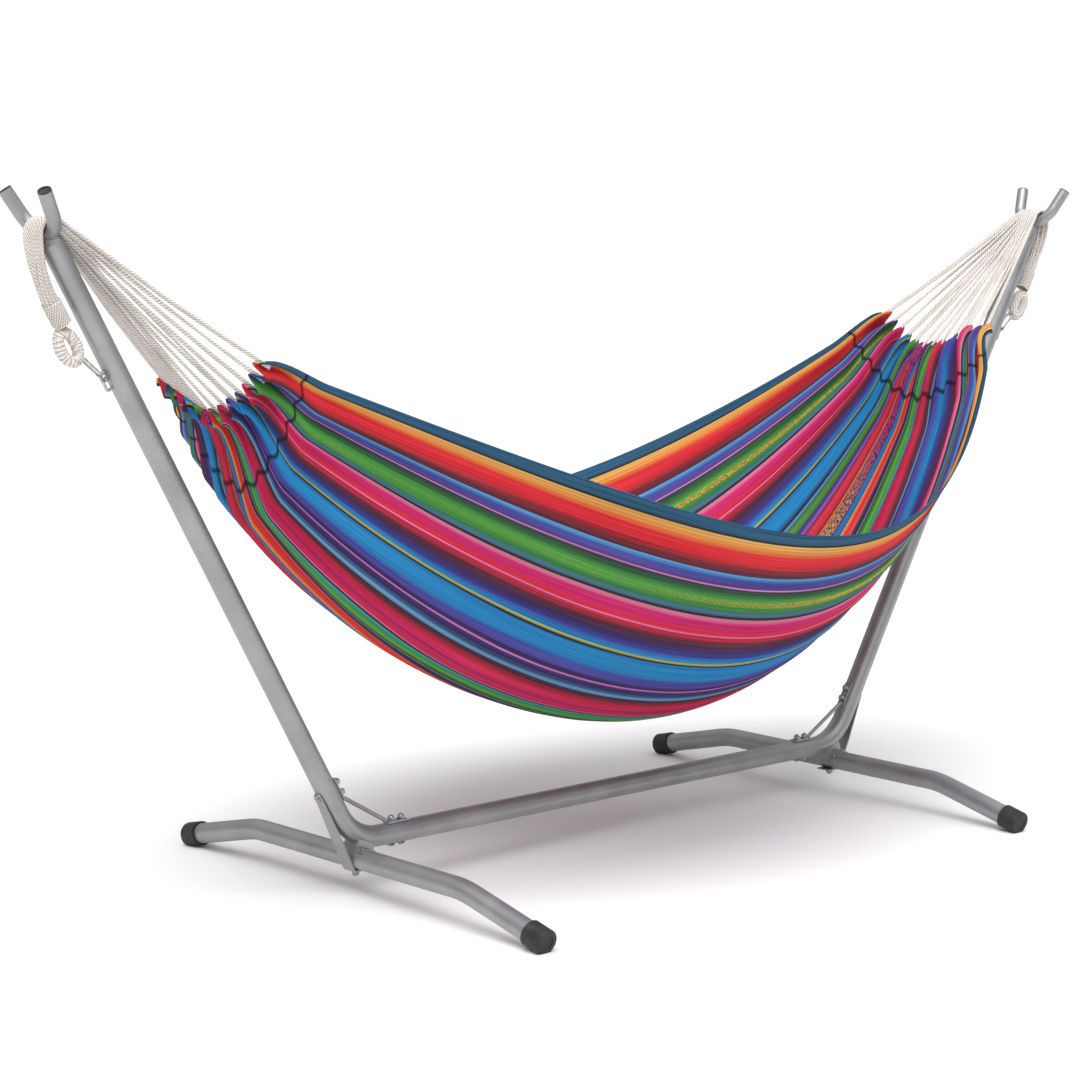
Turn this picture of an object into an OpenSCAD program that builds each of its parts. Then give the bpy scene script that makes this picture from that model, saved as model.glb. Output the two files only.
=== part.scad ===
// Two-point hammock on a free-standing bent-tube steel stand.
// X runs along the centre beam, Y across it, Z up. The origin is on the floor, under the middle.
// Everything at one end is modelled on the +X side, and mirrored for the -X side.

/* [Stand tube] */
// Outside diameter of the beam, uprights and legs
tube_d = 42; // [34:1:50]
// Wall of every tube
tube_wall = 1.5; // [1.2:0.1:2.5]

/* [Legs] */
// Distance from the middle of the stand to each leg
leg_x = 695; // [560:5:840]
// Height of a leg's straight middle, at its axis
leg_z = 74; // [62:1:100]
// Distance from the beam to the point where a leg bends down
knee_y = 312; // [200:1:380]
// Distance from the beam to the outer end of a foot
foot_y = 538; // [440:1:650]
// Centreline radius of a leg's bend
knee_r = 220; // [120:5:300]

/* [Feet] */
// Outside diameter of a rubber foot
foot_d = 50; // [46:1:60]
// Length of a rubber foot
foot_l = 46; // [35:1:70]
// How far the underside of a foot is worn flat at its outer end
foot_flat = 5.3; // [3:0.1:7]
// Thickness of the closed end of a foot
foot_end = 5; // [3:0.5:10]

/* [Beam and uprights] */
// How much higher the beam's axis is than the leg's axis
beam_lift = 35; // [28:1:40]
// Lean of an upright away from vertical
lean = 30; // [20:1:36]
// Centreline radius of the elbow
elbow_r = 115; // [95:1:140]
// Straight sleeve of an upright beyond its elbow, where the beam goes in
sleeve_l = 71; // [66:1:90]
// Length of the swaged beam end inside the sleeve
spigot_l = 64; // [60:1:66]
// Distance along an upright from the corner of its axes to the middle of the fork
post_l = 1349; // [1100:1:1450]

/* [Fork] */
// Outside diameter of the fork tube
fork_d = 25; // [20:1:30]
// Centreline radius of the fork's U bend
fork_r = 50; // [42:1:60]
// Angle of the U bend on each side
fork_turn = 75; // [60:1:85]
// Straight horn beyond the bend
horn_l = 48; // [20:1:70]

/* [Joint hardware] */
// Diameter of the joint bolts and the leg bolt
bolt_d = 8; // [6:0.5:10]
// Clearance of a bolt in its hole, on the radius
bolt_gap = 0.25; // [0.1:0.05:0.5]
// Distance from the elbow's bend to the nearest bolt
bolt_first = 33; // [28:1:40]
// Spacing of the two bolts on each side of the elbow
bolt_pitch = 25; // [20:1:28]
// Diameter of the tie rod across the elbow
tie_d = 8; // [6:0.5:10]
// Thickness of the strip in the braces and tie plates
strip_t = 3; // [2:0.5:4]
// Width of a brace where it passes the leg
brace_w = 34; // [26:1:40]
// Width of a brace's rounded top tab
tab_w = 20; // [17:1:24]
// Thickness of the pressed saddle between elbow and leg
saddle_t = 3; // [2:0.5:5]
// Length of the saddle along the leg
saddle_l = 80; // [66:1:110]

/* [Eye and snap hook] */
// Distance of the eye from the corner of the upright's axes
eye_s = 1066; // [800:1:1150]
// Length of the eye along the upright
eye_l = 34; // [30:1:50]
// Wire of the eye
eye_wire = 6; // [4:0.5:7]
// Wire of the snap hook
hook_wire = 4.4; // [3.5:0.1:5]
// Width of the snap hook between wire centres
hook_w = 16; // [15:1:24]

/* [Hammock] */
// Half of the length of the cloth bed, hem to hem
bed_half = 1036; // [950:1:1060]
// Height of the hem's corners
hem_z = 1035; // [980:1:1080]
// Height of the hem's middle
hem_mid_z = 940; // [900:1:980]
// Half of the width of the gathered hem
hem_y = 162; // [130:1:200]
// How much wider each side of the bed is at mid length
belly_y = 400; // [300:1:480]
// Height of the bed's long edges at mid length
edge_z = 680; // [600:1:760]
// Height of the lowest point of the bed
bottom_z = 248; // [200:1:420]
// Thickness of the cloth bed, measured upright
cloth_t = 6; // [4:0.5:10]

/* [Cords] */
// Number of doubled cords at each end
cord_pairs = 13; // [7:2:15]
// Diameter of one cord
cord_d = 5.6; // [4:0.1:6]
// Width of the cord bundle where it lies in the fork
bundle_w = 62; // [50:1:66]
// Thickness of the cord bundle where it lies in the fork
bundle_t = 26; // [20:1:30]
// Diameter of the whipping round the bundle
whip_d = 36; // [30:1:40]
// Radius of the end loop, at the middle of its strand
loop_r = 28; // [24:1:30]
// Diameter of the end loop's strand
loop_d = 23; // [18:1:24]

/* [Hidden] */
$fn = 48;
eps = 0.01;
fit = 0.05;              // clearance of parts that are assembled face to face
touch = 0.1;             // clearance under plates that lie on a tube
soft_gap = 0.3;          // clearance round soft parts
tube_r = tube_d / 2;
bore_r = tube_r - tube_wall;
hole_r = bolt_d / 2 + bolt_gap;

// Legs and feet
foot_z = foot_d / 2 - foot_flat;
leg_drop = atan((leg_z - foot_z) / (foot_y - knee_y));
knee_t = knee_r * tan(leg_drop / 2);
slope_l = (foot_y - knee_y) / cos(leg_drop) - knee_t - foot_end;
foot_edge = 4;

// Elbow: its bend stays one saddle thickness clear of the leg
beam_z = leg_z + beam_lift;
elbow_to_leg = elbow_r + tube_d + saddle_t;
elbow_dx = sqrt(pow(elbow_to_leg, 2) - pow(elbow_r + beam_lift, 2));
bend_x = leg_x - elbow_dx;
turn = 90 - lean;
bend_t = elbow_r * tan(turn / 2);
corner_x = bend_x + bend_t;
sleeve_x = bend_x - sleeve_l;
saddle_a = atan2(elbow_dx, elbow_r + beam_lift);

// Bolts: B and A on the post, C and D on the sleeve
bolt_b = bend_t + bolt_first;
bolt_a = bolt_b + bolt_pitch;
bolt_c = bend_x - bolt_first;
bolt_dd = bolt_c - bolt_pitch;
head_d = bolt_d * 2;
head_h = bolt_d * 0.6;
nut_w = bolt_d * 1.625;
nut_h = bolt_d * 0.85;
washer_d = bolt_d * 2.1;
washer_t = 1.6;
plate_end = 14;          // plate beyond its outer bolts
plate_w = 18;
tube_seat = tube_r + touch;
plate_top = tube_seat + strip_t;

// Fork and post top
fork_r_in = fork_d / 2;
swage_l = 14;
swage_r = fork_r_in + 2.5;
post_top = post_l - 4;
fork_x = corner_x + post_l * sin(lean);
fork_z = beam_z + post_l * cos(lean);
plug_t = 2;
plug_l = 12;

// Cord bundle, whipping and loop, in the XZ plane on the +X side
wrap_r = fork_r_in + soft_gap;
fan_cut = 40;            // the swinging cords start this far inside the fork's middle
fan_gap = 3;             // room between the fixed bundle and the swinging cords
fan_a = 127;             // direction of the bundle's top where it turns to the hammock
down_a = -3;             // direction of the bundle's outer side where it turns down
bundle_r = wrap_r + bundle_t / 2;
fan_x = fork_x - fan_cut;
fan_z = fork_z + 1.2;
whip_x = fork_x - 6;
whip_z = fork_z - 115;
whip_a = 211;            // direction of the whipping, from the fork to the loop
whip_l = 50;
whip_end = [whip_x + whip_l * sin(whip_a), whip_z + whip_l * cos(whip_a)];
loop_x = fork_x - 42;
loop_z = whip_end[1] - 38;

// Eye and hook
eye_gap = hook_wire + 3.6;
eye_off = tube_r + eye_gap + eye_wire / 2;
hook_eye = [corner_x + eye_s * sin(lean) + (tube_r + eye_gap / 2 + 0.4) * cos(lean),
            beam_z + eye_s * cos(lean) - (tube_r + eye_gap / 2 + 0.4) * sin(lean)];
hook_rope = [loop_x - loop_r * 0.85, loop_z - loop_r * 0.6];
hook_l = norm(hook_eye - hook_rope);
hook_a = atan2(-(hook_eye[1] - hook_rope[1]), hook_eye[0] - hook_rope[0]);
hook_r = hook_w / 2;
gate_l = 30;
gate_at = hook_l - 13;   // the gate's rivet, along the hook from its rope end
gate_d = hook_wire - 0.4;
gate_ear = 7;
ear_t = 2;
rivet_d = 2;

// Bed
bed_nu = 44;
bed_nv = 26;
cord_in = 14;            // cord inside the hem's sleeve
fan_w = (cord_pairs - 1) * (cord_d + 0.7) + cord_d;
row_rise = 1.45 * (cord_d + 0.6); // height between the two cords of a pair
column_gap = cord_d + 0.7;

// Sections of the tubes
module ring_section(r, bore) {
    difference() {
        circle(r = r);
        circle(r = bore);
    }
}

module tube_section() {
    ring_section(tube_r, bore_r);
}

// Placing

module at_left() {
    mirror([1, 0, 0]) children();
}

// Frame on the upright's axis: +Z along the post, +X outwards
module on_post(s) {
    translate([corner_x, 0, beam_z]) rotate([0, lean, 0]) translate([0, 0, s]) children();
}

// Each joint bolt in turn: +Z points to the inside of the elbow, extra is the strip under the head
module post_bolt(s) {
    on_post(s) rotate([0, -90, 0]) children();
}

module beam_bolt(x) {
    translate([x, 0, beam_z]) children();
}

// Round bar between two points of the XZ plane
module bar(p, q, d) {
    translate([p[0], 0, p[1]])
        rotate([0, atan2(q[0] - p[0], q[1] - p[1]), 0])
            cylinder(d = d, h = norm(q - p));
}

// Round bar between two points in space
module rod(p, q, d) {
    v = q - p;
    translate(p)
        rotate([0, acos(v[2] / norm(v)), atan2(v[1], v[0])])
            cylinder(d = d, h = norm(v));
}

// Leg: a straight middle, a bend down on each side and a slope to the foot

module leg_bend_and_slope() {
    translate([0, knee_y - knee_t, -knee_r]) {
        rotate([0, -90, 0])
            rotate_extrude(angle = leg_drop) translate([knee_r, 0]) tube_section();
        rotate([-leg_drop, 0, 0]) translate([0, 0, knee_r]) rotate([-90, 0, 0])
            linear_extrude(slope_l) tube_section();
    }
}

module leg() {
    color("silver") difference() {
        translate([leg_x, 0, leg_z]) {
            translate([0, knee_t - knee_y, 0]) rotate([-90, 0, 0])
                linear_extrude(2 * (knee_y - knee_t)) tube_section();
            leg_bend_and_slope();
            mirror([0, 1, 0]) leg_bend_and_slope();
        }
        leg_bolt_hole();
        saddle_screw_places() cylinder(r = screw_hole_r, h = tube_r);
    }
}

module leg_bolt_hole() {
    translate([leg_x, 0, leg_z - tube_d]) cylinder(r = hole_r, h = 2 * tube_d);
}

// Frame at a foot's outer end: +Z runs back up the leg's slope
module foot_place(side) {
    translate([leg_x, side * foot_y, foot_z]) rotate([side * (90 - leg_drop), 0, 0]) children();
}

module foot(side) {
    r = foot_d / 2;
    color("black") difference() {
        foot_place(side) difference() {
            rotate_extrude() {
                square([r - foot_edge, foot_l]);
                translate([0, foot_edge]) square([r, foot_l - foot_edge - 1]);
                translate([0, foot_l - 2]) square([r - 1, 2]);
                translate([r - foot_edge, foot_edge]) circle(r = foot_edge);
            }
            translate([0, 0, foot_end]) cylinder(r = tube_r + fit, h = foot_l);
            translate([0, 0, -eps]) cylinder(r = r * 0.55, h = 1);
        }
        translate([leg_x - foot_d, side * foot_y - foot_d * 2, -foot_d])
            cube([foot_d * 2, foot_d * 4, foot_d]);
    }
}

// Beam and uprights

module centre_beam() {
    color("silver") difference() {
        union() {
            rotate([0, 90, 0]) translate([-beam_z, 0, -sleeve_x]) cylinder(r = tube_r, h = 2 * sleeve_x);
            rotate([0, 90, 0]) translate([-beam_z, 0, -sleeve_x - spigot_l])
                cylinder(r = bore_r - fit, h = 2 * (sleeve_x + spigot_l));
        }
        rotate([0, 90, 0]) translate([-beam_z, 0, -sleeve_x - spigot_l - 1])
            cylinder(r = bore_r - fit - tube_wall, h = 2 * (sleeve_x + spigot_l + 1));
        for (side = [-1, 1], x = [bolt_c, bolt_dd])
            translate([side * x, 0, beam_z - tube_d]) cylinder(r = hole_r, h = 2 * tube_d);
    }
}

// The upright's centreline swept with a section: sleeve, elbow and post
module upright_sweep(start, top) {
    translate([start, 0, beam_z]) rotate([0, 90, 0]) linear_extrude(bend_x - start) children();
    translate([bend_x, 0, beam_z + elbow_r]) rotate([90, 0, 0]) rotate([0, 0, -90])
        rotate_extrude(angle = turn) translate([elbow_r, 0]) children();
    on_post(bend_t) linear_extrude(top - bend_t) children();
}

// The post's top, narrowed to the fork
module swage() {
    on_post(post_top - swage_l) rotate_extrude()
        polygon([[bore_r, 0], [tube_r, 0], [swage_r, swage_l], [swage_r - tube_wall, swage_l]]);
}

module upright() {
    color("silver") difference() {
        union() {
            upright_sweep(sleeve_x, post_top - swage_l) tube_section();
            swage();
        }
        fork_sweep() circle(r = fork_r_in + fit);
        for (s = [bolt_b, bolt_a])
            post_bolt(s) translate([0, 0, -tube_d]) cylinder(r = hole_r, h = 2 * tube_d);
        for (x = [bolt_c, bolt_dd])
            beam_bolt(x) translate([0, 0, -tube_d]) cylinder(r = hole_r, h = 2 * tube_d);
    }
}

// Fork: a U in the plane of the post and the Y axis

module fork_sweep(more = 0) {
    on_post(post_l) translate([0, 0, fork_r]) {
        rotate([90, 0, 90]) rotate([0, 0, -90 - fork_turn])
            rotate_extrude(angle = 2 * fork_turn) translate([fork_r, 0]) children();
        for (side = [-1, 1])
            rotate([side * fork_turn, 0, 0]) translate([0, 0, -fork_r]) rotate([-side * 90, 0, 0])
                linear_extrude(horn_l + more) children();
    }
}

module fork() {
    color("silver") fork_sweep() ring_section(fork_r_in, fork_r_in - tube_wall);
}

// Frame at a horn's end: +Z points out of the horn
module horn_place(side) {
    on_post(post_l) translate([0, 0, fork_r]) rotate([side * fork_turn, 0, 0])
        translate([0, side * horn_l, -fork_r]) rotate([-side * 90, 0, 0]) children();
}

module plug(side) {
    color("black") horn_place(side) difference() {
        union() {
            translate([0, 0, fit]) cylinder(r = fork_r_in - 0.3, h = plug_t);
            translate([0, 0, -plug_l]) cylinder(r = fork_r_in - tube_wall - fit, h = plug_l + 1);
        }
        translate([0, 0, plug_t - 1.2]) cylinder(r = fork_r_in - 3, h = 2);
    }
}

// Saddle between the elbow and the leg

screw_d = 4;
screw_hole_r = screw_d / 2 + fit;
screw_y = 30;
screw_a = 36;
saddle_span = 62;
cradle_w = 38;
cradle_l = 44;
cradle_top = tube_r + saddle_t + 12;
shell_r = tube_r + saddle_t - 0.4; // clear of the elbow, which rests in the cradle only

// Frame on the leg's axis: +Z points to the centre of the elbow's bend
module saddle_place() {
    translate([leg_x, 0, leg_z]) rotate([0, -saddle_a, 0]) children();
}

module saddle_screw_places() {
    saddle_place()
        for (y = [-screw_y, screw_y], a = [-screw_a, screw_a])
            translate([0, y, 0]) rotate([0, a, 0]) translate([0, 0, tube_r - 6]) children();
}

module saddle() {
    color("gray") difference() {
        saddle_place() union() {
            rotate([90, 0, 0]) rotate([0, 0, 90 - saddle_span]) translate([0, 0, -saddle_l / 2])
                rotate_extrude(angle = 2 * saddle_span)
                    translate([bore_r, 0]) square([shell_r - bore_r, saddle_l]);
            translate([-cradle_l / 2, -cradle_w / 2, 0]) cube([cradle_l, cradle_w, cradle_top]);
        }
        translate([leg_x, -saddle_l, leg_z]) rotate([-90, 0, 0])
            cylinder(r = tube_r + fit, h = 2 * saddle_l);
        upright_sweep(sleeve_x, post_l / 2) circle(r = tube_r + fit);
        saddle_screw_places() cylinder(r = screw_hole_r, h = tube_r);
        leg_bolt_hole();
    }
}

module saddle_screws() {
    head_at = 6 + saddle_t;
    color("gainsboro") saddle_screw_places() {
        translate([0, 0, 1]) cylinder(d = screw_d, h = head_at);
        translate([0, 0, head_at]) difference() {
            union() {
                cylinder(d = screw_d * 2.1, h = 1.4);
                translate([0, 0, 1.4]) cylinder(d1 = screw_d * 2.1, d2 = screw_d * 1.5, h = 1);
            }
            translate([-screw_d, -0.4, 1.8]) cube([2 * screw_d, 0.8, 2]);
        }
    }
}

// The leg bolt goes through saddle, leg and brace. Its collar rests on the leg's lower wall

module leg_bolt() {
    end_z = foot_plate_z - strip_t / 2 - touch - washer_t - nut_h - 3;
    collar_r = bolt_d * 0.8;
    collar_z = leg_z - sqrt(pow(bore_r, 2) - pow(collar_r, 2)) + fit;
    color("gainsboro") {
        translate([leg_x, 0, end_z]) cylinder(d = bolt_d, h = leg_z + tube_r + saddle_t - end_z);
        translate([leg_x, 0, collar_z]) cylinder(r = collar_r, h = head_h);
    }
}

module leg_nut() {
    top_z = foot_plate_z - strip_t / 2 - touch;
    color("gainsboro") difference() {
        union() {
            translate([leg_x, 0, top_z - washer_t]) cylinder(d = washer_d, h = washer_t);
            translate([leg_x, 0, top_z - washer_t - nut_h])
                cylinder(d = nut_w / cos(30), h = nut_h, $fn = 6);
        }
        translate([leg_x, 0, top_z - 4 * nut_h]) cylinder(d = bolt_d + 2 * fit, h = 5 * nut_h);
    }
}

// Tie rod across the inside of the elbow, with flattened ends under the bolts' nuts

module plate(l, holes) {
    difference() {
        translate([0, -plate_w / 2, tube_seat]) cube([l, plate_w, strip_t]);
        for (x = holes)
            translate([x, 0, 0]) cylinder(r = hole_r, h = 2 * tube_d);
    }
}

module tie_rod() {
    plate_l = bolt_pitch + 2 * plate_end;
    rod_in = 4;
    mid = tube_seat + touch + tie_d / 2 * cos(turn / 2) + rod_in * sin(turn / 2);
    s_low = bolt_b - plate_end;
    p = [corner_x + s_low * sin(lean) - mid * cos(lean), beam_z + s_low * cos(lean) + mid * sin(lean)];
    q = [bolt_c + plate_end, beam_z + mid];
    along = (p - q) / norm(p - q);
    color("gray") {
        on_post(s_low) rotate([0, -90, 0]) plate(plate_l, [plate_end, plate_end + bolt_pitch]);
        beam_bolt(bolt_dd - plate_end) plate(plate_l, [plate_end, plate_end + bolt_pitch]);
        bar(q - rod_in * along, p + rod_in * along, tie_d);
    }
}

// Brace: a strip from the post's outer side, past the leg, with its foot bent under the leg

brace_seat = tube_seat + strip_t / 2;
leg_c = [leg_x, leg_z];
kink_s = bolt_a - tab_w / 2 - 2;
kink = [corner_x + kink_s * sin(lean) + brace_seat * cos(lean),
        beam_z + kink_s * cos(lean) - brace_seat * sin(lean)];
kink_to_leg = leg_c - kink;
brace_dir_a = atan2(kink_to_leg[1], kink_to_leg[0]) + asin((brace_seat + touch) / norm(kink_to_leg));
brace_dir = [cos(brace_dir_a), sin(brace_dir_a)];
foot_plate_z = leg_z - brace_seat - touch;
heel = kink + brace_dir * ((foot_plate_z - kink[1]) / brace_dir[1]);
toe = [leg_x - tube_r, foot_plate_z];
tab_top = [corner_x + (bolt_a + tab_w) * sin(lean) + brace_seat * cos(lean),
           beam_z + (bolt_a + tab_w) * cos(lean) - brace_seat * sin(lean)];

// One straight stretch of the strip's edge view, with round ends
module strip_edge(p, q) {
    v = q - p;
    translate(p) rotate(atan2(v[1], v[0])) translate([0, -strip_t / 2]) square([norm(v), strip_t]);
    for (c = [p, q])
        translate(c) circle(d = strip_t);
}

// The strip seen from its face: narrow round tab above, full width below
module strip_face(len_down) {
    wide_at = len_down * 0.62;
    circle(d = tab_w);
    polygon([[0, tab_w / 2], [wide_at, brace_w / 2], [len_down * 2, brace_w / 2],
             [len_down * 2, -brace_w / 2], [wide_at, -brace_w / 2], [0, -tab_w / 2]]);
}

module brace() {
    len_down = norm(heel - kink) + tab_w / 2;
    color("silver") difference() {
        intersection() {
            translate([0, brace_w, 0]) rotate([90, 0, 0]) linear_extrude(2 * brace_w) {
                strip_edge(tab_top, kink);
                strip_edge(kink, heel);
                strip_edge(heel, toe);
            }
            on_post(bolt_a) rotate([0, 90, 0]) translate([0, 0, -tube_d])
                linear_extrude(4 * tube_d) strip_face(len_down);
        }
        post_bolt(bolt_a) translate([0, 0, -2 * tube_d]) cylinder(r = hole_r, h = 2 * tube_d);
        translate([leg_x, 0, 0]) cylinder(r = hole_r, h = leg_z);
    }
}

// Joint bolts, nuts and washers. The top bolt holds the brace's tab under its head.
// The one below it is a headless stud, flush with the post, because the brace passes over it

module joint_places() {
    for (s = [bolt_a, bolt_b])
        post_bolt(s) children();
    for (x = [bolt_c, bolt_dd])
        beam_bolt(x) children();
}

module joint_shank(below) {
    translate([0, 0, -below]) cylinder(d = bolt_d, h = below + plate_top + washer_t + nut_h);
}

module joint_bolt(strip) {
    seat = tube_seat + strip;
    joint_shank(seat);
    translate([0, 0, -seat - head_h / 2]) cylinder(d = head_d, h = head_h / 2);
    translate([0, 0, -seat - head_h]) cylinder(d1 = head_d * 0.6, d2 = head_d, h = head_h / 2);
}

module joint_bolts() {
    color("gainsboro") {
        post_bolt(bolt_a) joint_bolt(strip_t + touch);
        post_bolt(bolt_b) joint_shank(tube_r - touch);
        for (x = [bolt_c, bolt_dd])
            beam_bolt(x) joint_bolt(0);
    }
}

module joint_washer() {
    translate([0, 0, plate_top + touch / 2]) difference() {
        cylinder(d = washer_d, h = washer_t);
        translate([0, 0, -1]) cylinder(r = hole_r, h = washer_t + 2);
    }
}

module joint_washers() {
    color("silver") joint_places() joint_washer();
}

// Dome nut: a hexagon with a round cap
module joint_nut() {
    z0 = plate_top + washer_t + touch;
    difference() {
        union() {
            translate([0, 0, z0]) cylinder(d = nut_w / cos(30), h = nut_h * 0.8, $fn = 6);
            translate([0, 0, z0 + nut_h * 0.6]) intersection() {
                sphere(d = nut_w * 0.92);
                cylinder(d = nut_w, h = nut_w);
            }
        }
        translate([0, 0, z0 - 1]) cylinder(d = bolt_d + 2 * fit, h = nut_h + 1.2);
    }
}

module joint_nuts() {
    color("silver") joint_places() joint_nut();
}

// Eye: a wire staple on the outer side of the post, its ends welded on

module eye() {
    bend = 5;
    reach = eye_off - tube_r - bend;
    color("gainsboro") difference() {
        on_post(eye_s - eye_l / 2) {
            for (end = [0, 1]) {
                z = end * eye_l;
                inward = end == 0 ? 1 : -1;
                translate([bore_r, 0, z]) rotate([0, 90, 0]) cylinder(d = eye_wire, h = tube_wall + reach);
                translate([tube_r + reach, 0, z + inward * bend]) rotate([90, 0, 0])
                    rotate([0, 0, end == 0 ? -90 : 0])
                        rotate_extrude(angle = 90) translate([bend, 0]) circle(d = eye_wire);
            }
            translate([eye_off, 0, bend]) cylinder(d = eye_wire, h = eye_l - 2 * bend);
        }
        on_post(eye_s - eye_l) cylinder(r = tube_r + fit, h = 2 * eye_l);
    }
}

// Snap hook. Its own frame has +X from the rope to the eye, +Y across, +Z its hinge axis

module hook_place() {
    translate([hook_rope[0], 0, hook_rope[1]]) rotate([0, hook_a, 0]) children();
}

module hook_wire_form(d) {
    r = hook_r;
    straight = hook_l - 2 * r;
    gap_end = gate_at - gate_l - 1;
    translate([r, 0, 0]) rotate([0, 0, 90]) rotate_extrude(angle = 180) translate([r, 0]) circle(d = d);
    translate([hook_l - r, 0, 0]) rotate([0, 0, -90])
        rotate_extrude(angle = 180) translate([r, 0]) circle(d = d);
    translate([r, r, 0]) rotate([0, 90, 0]) cylinder(d = d, h = straight);
    translate([r, -r, 0]) rotate([0, 90, 0]) cylinder(d = d, h = gap_end - r);
    translate([gate_at + gate_ear / 2 - 1, -r, 0]) rotate([0, 90, 0])
        cylinder(d = d, h = hook_l - r - gate_at - gate_ear / 2 + 1);
}

module snap_hook() {
    color("gainsboro") hook_place() difference() {
        union() {
            hook_wire_form(hook_wire);
            translate([gate_at, -hook_r, -ear_t - fit]) cylinder(d = gate_ear, h = ear_t);
            translate([gate_at, -hook_r - 1.5, -ear_t - fit]) cube([gate_ear / 2 + 1, 3, ear_t]);
        }
        translate([gate_at, -hook_r, -ear_t - 1]) cylinder(d = rivet_d, h = ear_t + 2);
        translate([gate_at, -hook_r, 0]) cylinder(d = gate_ear + 1, h = hook_wire);
    }
}

module hook_gate() {
    reach = gate_l - 0.5;
    color("gainsboro") hook_place() translate([gate_at, -hook_r, 0]) difference() {
        union() {
            cylinder(d = gate_ear, h = ear_t);
            translate([-reach, 0, 0]) rotate([0, 90, 0]) cylinder(d = gate_d, h = reach - gate_ear / 2 - 0.2);
            translate([-gate_ear / 2 - 1.5, -1.4, 0]) cube([gate_ear / 2, 2.8, ear_t]);
        }
        translate([0, 0, -hook_wire]) cylinder(d = rivet_d + 2 * fit, h = 2 * hook_wire);
    }
}

module gate_rivet() {
    color("gray") hook_place() translate([gate_at, -hook_r, 0]) {
        translate([0, 0, -ear_t - fit]) cylinder(d = rivet_d, h = 2 * (ear_t + fit) + 0.5);
        translate([0, 0, -ear_t - 1.2]) cylinder(d = rivet_d * 1.8, h = 1.2 - fit);
        translate([0, 0, ear_t + fit]) cylinder(d = rivet_d * 1.8, h = 1.2);
    }
}

// Cord bundle: out of the fan, over the fork, down to the whipping

module bundle_section(w, t) {
    translate([0, (w - t) / 2]) circle(d = t, $fn = 32);
    translate([0, -(w - t) / 2]) circle(d = t, $fn = 32);
    translate([-t / 2, -(w - t) / 2]) square([t, w - t]);
}

module bundle_slab(a, w, t) {
    translate([fork_x, 0, fork_z]) rotate([0, -a, 0]) translate([bundle_r - t / 2, -w / 2, -1])
        cube([t, w, 2]);
}

module cord_bundle() {
    color("linen") difference() {
        union() {
            translate([fork_x, 0, fork_z]) rotate([90, 0, 0]) rotate([0, 0, down_a])
                rotate_extrude(angle = fan_a - down_a) translate([bundle_r, 0])
                    bundle_section(bundle_w, bundle_t);
            hull() {
                bundle_slab(fan_a, bundle_w - 8, bundle_t - 4);
                translate([fan_x + fan_gap, -fan_w / 2, fan_z - row_rise / 2])
                    cube([2, fan_w, row_rise + cord_d]);
            }
            hull() {
                bundle_slab(down_a, bundle_w - 8, bundle_t - 4);
                translate([whip_x, 0, whip_z]) rotate([0, whip_a, 0]) translate([0, 0, -1 - fit])
                    cylinder(d = whip_d - 3, h = 1, $fn = 16);
            }
        }
        fork_sweep(20) circle(r = fork_r_in + soft_gap);
        on_post(post_l / 2) cylinder(r = tube_r + soft_gap, h = post_top - swage_l - post_l / 2);
        on_post(post_top - swage_l - eps)
            cylinder(r1 = tube_r + soft_gap, r2 = swage_r + soft_gap, h = swage_l + soft_gap);
    }
}

module whipping_form(more) {
    translate([whip_x, 0, whip_z]) rotate([0, whip_a, 0]) cylinder(d = whip_d + 2 * more, h = whip_l + more);
}

module whipping() {
    color("linen") whipping_form(0);
}

module end_loop() {
    color("linen") difference() {
        translate([loop_x, 0, loop_z]) rotate([90, 0, 0])
            rotate_extrude() translate([loop_r, 0]) circle(d = loop_d);
        whipping_form(fit);
        hook_place() hook_wire_form(hook_wire + 2 * soft_gap);
    }
}

// Fan of doubled cords from the fork to the hem

function pair_y(i) = hem_y * 0.95 * i / ((cord_pairs - 1) / 2);

module cord_fan() {
    half = (cord_pairs - 1) / 2;
    color("linen") for (i = [-half : half], row = [-0.5, 0.5]) {
        start = [fan_x, i * column_gap, fan_z + row * row_rise];
        y = pair_y(i);
        end = [bed_half, y, bed_z(1, y) + row * row_rise - cloth_t / 2];
        along = (end - start) / norm(end - start);
        rod(start, end + along * cord_in, cord_d);
    }
}

// Bed: a sagging sheet between the two hems, with its long edges rising to the corners

function belly(t) = 1 - t * t;
function bed_y(t) = hem_y + belly_y * belly(t) * (1 - 0.12 * t * t);
function bed_edge_z(t) = hem_z - (hem_z - edge_z) * belly(t);
function bed_low_z(t) = bottom_z + (hem_mid_z - bottom_z) * (0.68 * t * t + 0.32 * pow(t, 4));
function bed_power(t) = 1.45 + 0.3 * t * t;
function bed_z(t, y) = bed_low_z(t)
    + (bed_edge_z(t) - bed_low_z(t)) * pow(min(1, abs(y) / bed_y(t)), bed_power(t));

function bed_point(i, j, drop) =
    let (t = 2 * i / bed_nu - 1, y = bed_y(t) * (2 * j / bed_nv - 1))
    [bed_half * t, y, bed_z(t, y) - drop];

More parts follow.
